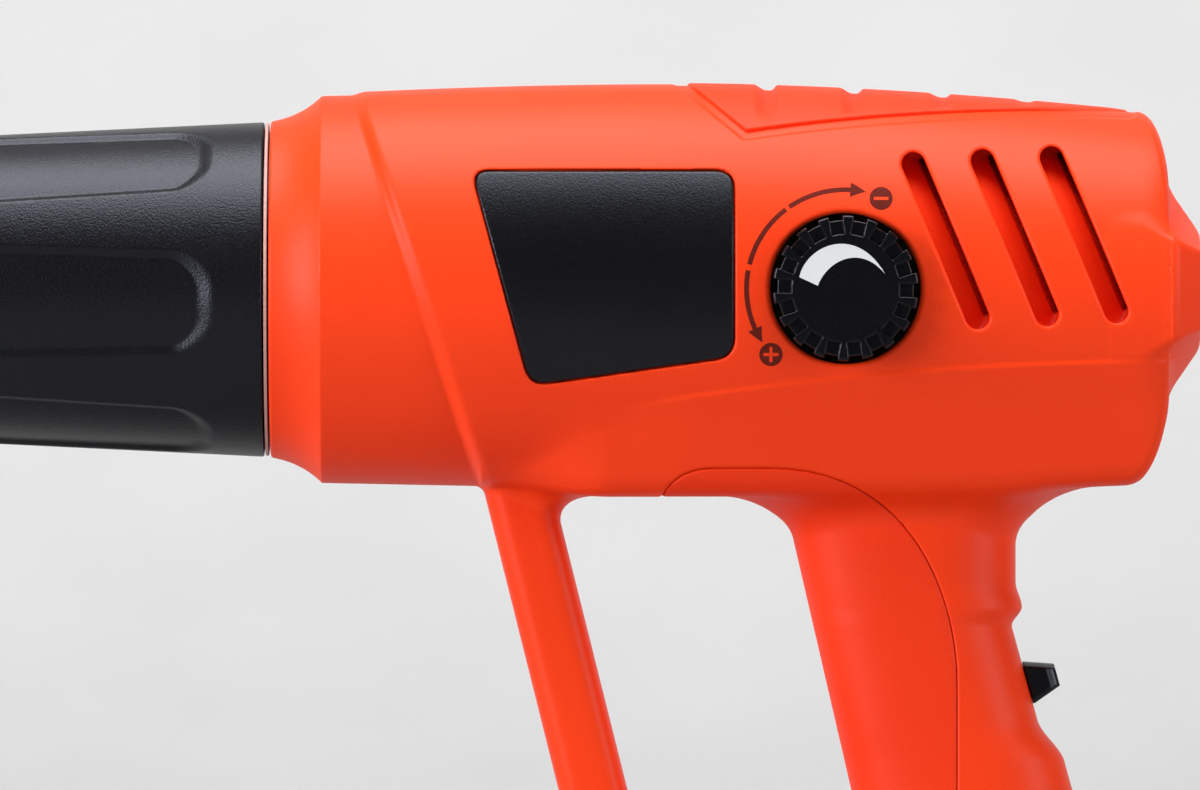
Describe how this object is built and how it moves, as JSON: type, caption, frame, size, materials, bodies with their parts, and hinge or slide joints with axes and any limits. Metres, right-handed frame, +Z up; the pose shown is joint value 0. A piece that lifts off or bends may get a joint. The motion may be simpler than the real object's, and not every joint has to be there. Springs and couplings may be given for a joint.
{
  "type": "hot air gun",
  "caption": "Handheld hot air gun with a loop handle, a ribbed black nose, a steel nozzle, a heater, fan and motor inside, a turning temperature dial and a slide switch.",
  "frame": {"origin": "middle of the flat foot's underside, beside the seam of the two housing halves", "axes": "+X along the barrel from the nozzle to the tail, +Y to the tool's right side, +Z up"},
  "size_m": [0.2974, 0.0862, 0.2001],
  "materials": {
    "housing_orange": "satin moulded",
    "grip_orange": "fine matt",
    "plate_black": "fine grained",
    "nose_black": "satin moulded",
    "dial_black": "semi gloss",
    "seal_pale": "matt",
    "inner_plastic": "moulded",
    "nozzle_steel": "drawn",
    "screw_steel": "zinc plated",
    "shaft_steel": "ground",
    "motor_steel": "pressed",
    "coil_wire": "oxidised wire",
    "copper": "turned",
    "bush_brass": "sintered",
    "mica": "pressed mica",
    "ceramic": "fired, unglazed",
    "ferrite": "sintered",
    "carbon": "pressed",
    "board_green": "solder mask",
    "gland_rubber": "matt"
  },
  "bodies": {
    "tool": {"left_housing": "housing_orange", "right_housing": "housing_orange", "side_plate": "plate_black", "top_pad": "grip_orange", "front_grip": "grip_orange", "nose_shroud": "nose_black", "nose_seal": "seal_pale", "nozzle_tube": "nozzle_steel", "mica_sleeve": "mica", "heater_core": "ceramic", "heating_coil": "coil_wire", "heater_plate": "mica", "flange_screw_1": "screw_steel", "flange_screw_2": "screw_steel", "flange_screw_3": "screw_steel", "air_duct": "inner_plastic", "motor_mount": "inner_plastic", "motor_can": "motor_steel", "field_magnet_upper": "ferrite", "field_magnet_lower": "ferrite", "brush_upper": "carbon", "brush_lower": "carbon", "motor_end_cap": "nose_black", "front_bush": "bush_brass", "rear_bush": "bush_brass", "rectifier_board": "board_green", "potentiometer": "motor_steel", "control_board": "board_green", "board_screw_upper": "screw_steel", "board_screw_lower": "screw_steel", "switch_body": "inner_plastic", "cord_gland": "gland_rubber", "cord_clamp": "inner_plastic", "clamp_screw_front": "screw_steel", "clamp_screw_rear": "screw_steel", "housing_screw_nose_top": "screw_steel", "housing_screw_nose_bottom": "screw_steel", "housing_screw_tail_top": "screw_steel", "housing_screw_tail_bottom": "screw_steel", "housing_screw_strut": "screw_steel", "housing_screw_handle_upper": "screw_steel", "housing_screw_handle_lower": "screw_steel", "housing_screw_toe": "screw_steel"},
    "dial": {"temperature_dial": "dial_black", "dial_shaft": "shaft_steel"},
    "switch": {"switch_slider": "dial_black", "switch_lever": "inner_plastic"},
    "rotor": {"fan_impeller": "inner_plastic", "motor_shaft": "shaft_steel", "armature_core": "motor_steel", "commutator": "copper"}
  },
  "joints": [
    {"name": "dial_turn", "type": "hinge", "parent": "tool", "child": "dial", "pos_m": [-0.0056, -0.04, 0.158], "axis": [0, 1, 0], "range_deg": [-135, 135]},
    {"name": "switch_slide", "type": "slide", "parent": "tool", "child": "switch", "axis": [-0.2652, 0, 0.9642], "range_m": [-0.0045, 0.0045]},
    {"name": "rotor_spin", "type": "hinge", "parent": "tool", "child": "rotor", "pos_m": [-0.0344, 0, 0.158], "axis": [1, 0, 0], "continuous": true}
  ]
}
